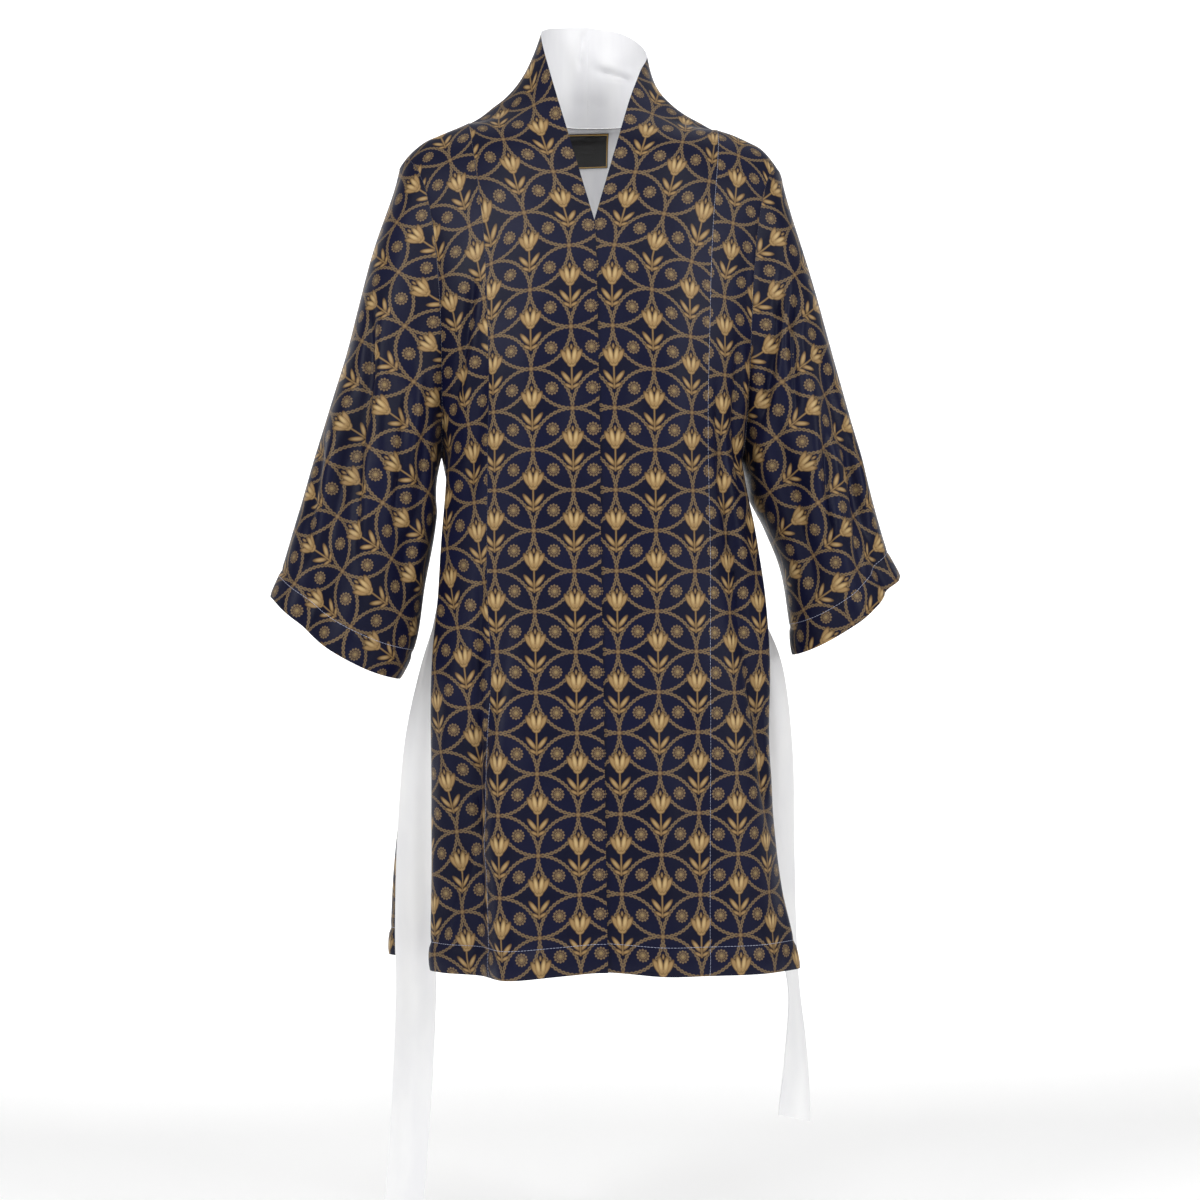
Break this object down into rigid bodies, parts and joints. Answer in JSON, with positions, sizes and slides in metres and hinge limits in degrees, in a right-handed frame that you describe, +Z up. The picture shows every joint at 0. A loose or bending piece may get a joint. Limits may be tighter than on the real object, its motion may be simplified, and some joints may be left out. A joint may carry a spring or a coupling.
{
  "type": "kimono robe",
  "caption": "Knee-length satin kimono robe with a grown-on stand collar, loose three-quarter sleeves and an untied belt hanging from side loops.",
  "frame": {"origin": "middle of the neck, about 10 mm below the highest points of the two shoulder seams, where the wearer's neck and shoulders hold the robe", "axes": "+Z up, the front faces -Y, +X is the wearer's left"},
  "size_m": [0.6784, 0.2891, 1.3211],
  "materials": {
    "printed_satin": "navy satin with a gold print, its reverse side white",
    "plain_satin": "plain white satin",
    "woven_label": "bare black woven label with a gold border"
  },
  "bodies": {
    "root": {"back": "printed_satin", "centre_front_right": "printed_satin", "centre_front_left": "printed_satin", "side_front_right": "printed_satin", "side_front_left": "printed_satin", "sleeve_right": "printed_satin", "sleeve_left": "printed_satin", "belt": "plain_satin", "belt_loop_right": "plain_satin", "belt_loop_left": "plain_satin", "neck_label": "woven_label"}
  },
  "joints": []
}
